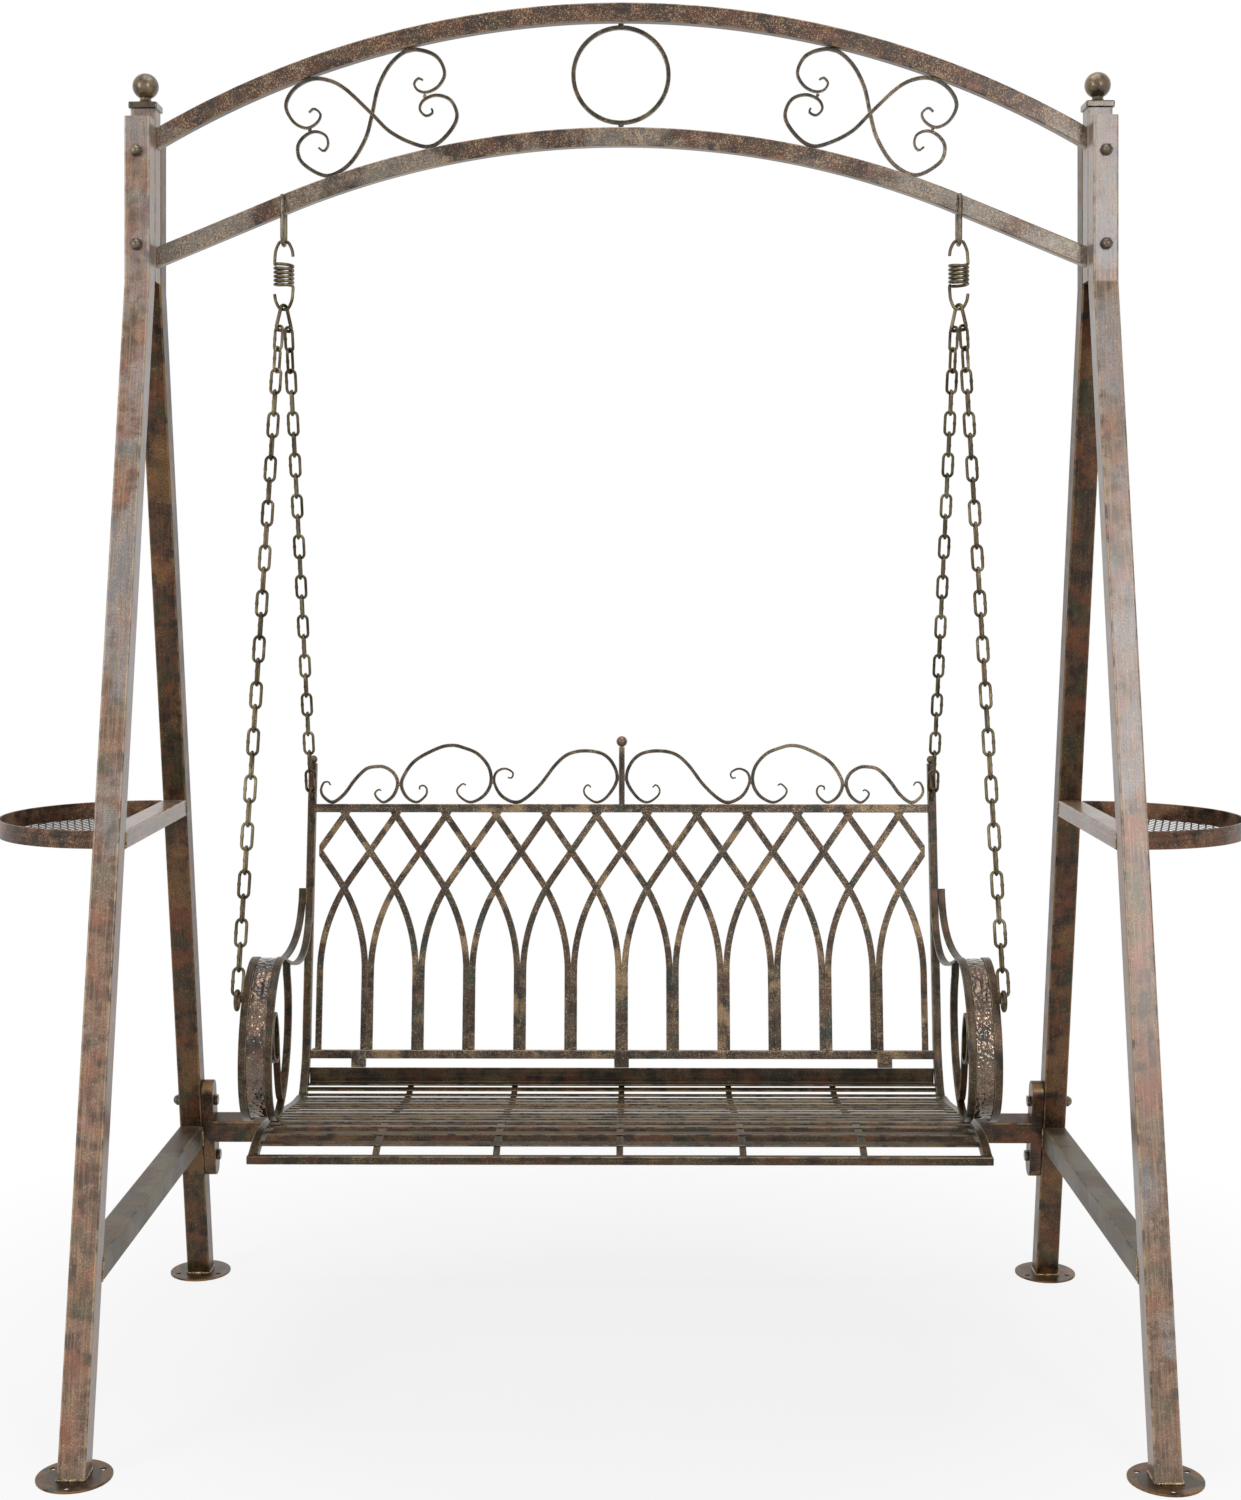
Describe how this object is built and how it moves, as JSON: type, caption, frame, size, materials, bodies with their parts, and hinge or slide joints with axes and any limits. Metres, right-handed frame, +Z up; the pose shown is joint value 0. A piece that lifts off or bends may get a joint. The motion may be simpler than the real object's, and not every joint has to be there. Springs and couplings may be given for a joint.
{
  "type": "garden swing bench",
  "caption": "Wrought iron swing bench with a lattice back and slatted seat, hung on springs and chains from a double-arched A-frame stand with side trays.",
  "frame": {"origin": "centre of the stand's footprint, on the floor", "axes": "+Z up; the bench faces -Y; the arches run along X"},
  "size_m": [1.9906, 0.947, 2.186],
  "materials": {
    "bronzed": "antique bronze patina over steel, rubbed through to copper in flecks",
    "dark": "dark brown iron, satin",
    "worn": "brushed bronze paint, greyer and paler on its broad faces"
  },
  "bodies": {
    "frame": {"left_front_leg": "worn", "left_post": "worn", "left_stretcher": "worn", "left_tray_bar": "worn", "left_back_leg": "bronzed", "left_finial": "bronzed", "left_tray_rim": "bronzed", "left_front_foot_plate": "bronzed", "left_back_foot_plate": "bronzed", "left_tray_mesh": "dark", "left_lower_leg_bolt": "dark", "left_upper_leg_bolt": "dark", "left_lower_crossbar_bolt": "dark", "left_upper_crossbar_bolt": "dark", "left_outer_arch_scroll": "dark", "left_inner_arch_scroll": "dark", "left_hanger_hook": "dark", "right_front_leg": "worn", "right_post": "worn", "right_stretcher": "worn", "right_tray_bar": "worn", "right_back_leg": "bronzed", "right_finial": "bronzed", "right_tray_rim": "bronzed", "right_front_foot_plate": "bronzed", "right_back_foot_plate": "bronzed", "right_tray_mesh": "dark", "right_lower_leg_bolt": "dark", "right_upper_leg_bolt": "dark", "right_lower_crossbar_bolt": "dark", "right_upper_crossbar_bolt": "dark", "right_outer_arch_scroll": "dark", "right_inner_arch_scroll": "dark", "right_hanger_hook": "dark", "upper_arch": "bronzed", "lower_arch": "bronzed", "rear_crossbar": "bronzed", "arch_ring": "dark"},
    "hangers": {"left_spring": "dark", "right_spring": "dark"},
    "bench": {"seat_panel": "bronzed", "back_bottom_rail": "bronzed", "back_top_rail": "bronzed", "back_lattice": "bronzed", "crest_scrollwork": "dark", "centre_finial": "dark", "left_carrier_link": "dark", "left_front_chain": "dark", "left_back_chain": "dark", "left_seat_side_frame": "bronzed", "left_inner_arm_rail": "bronzed", "left_outer_arm_rail": "bronzed", "left_arm_band": "bronzed", "right_carrier_link": "dark", "right_front_chain": "dark", "right_back_chain": "dark", "right_seat_side_frame": "bronzed", "right_inner_arm_rail": "bronzed", "right_outer_arm_rail": "bronzed", "right_arm_band": "bronzed"}
  },
  "joints": [
    {"name": "swing", "type": "hinge", "parent": "frame", "child": "hangers", "pos_m": [0, 0, 1.8044], "axis": [1, 0, 0], "range_deg": [-25, 25]},
    {"name": "bounce", "type": "slide", "parent": "hangers", "child": "bench", "axis": [0, 0, -1], "range_m": [0, 0.03], "stiffness_N_per_m": 10000, "springref_m": -0.03, "deforming": ["left_spring", "right_spring"]}
  ]
}
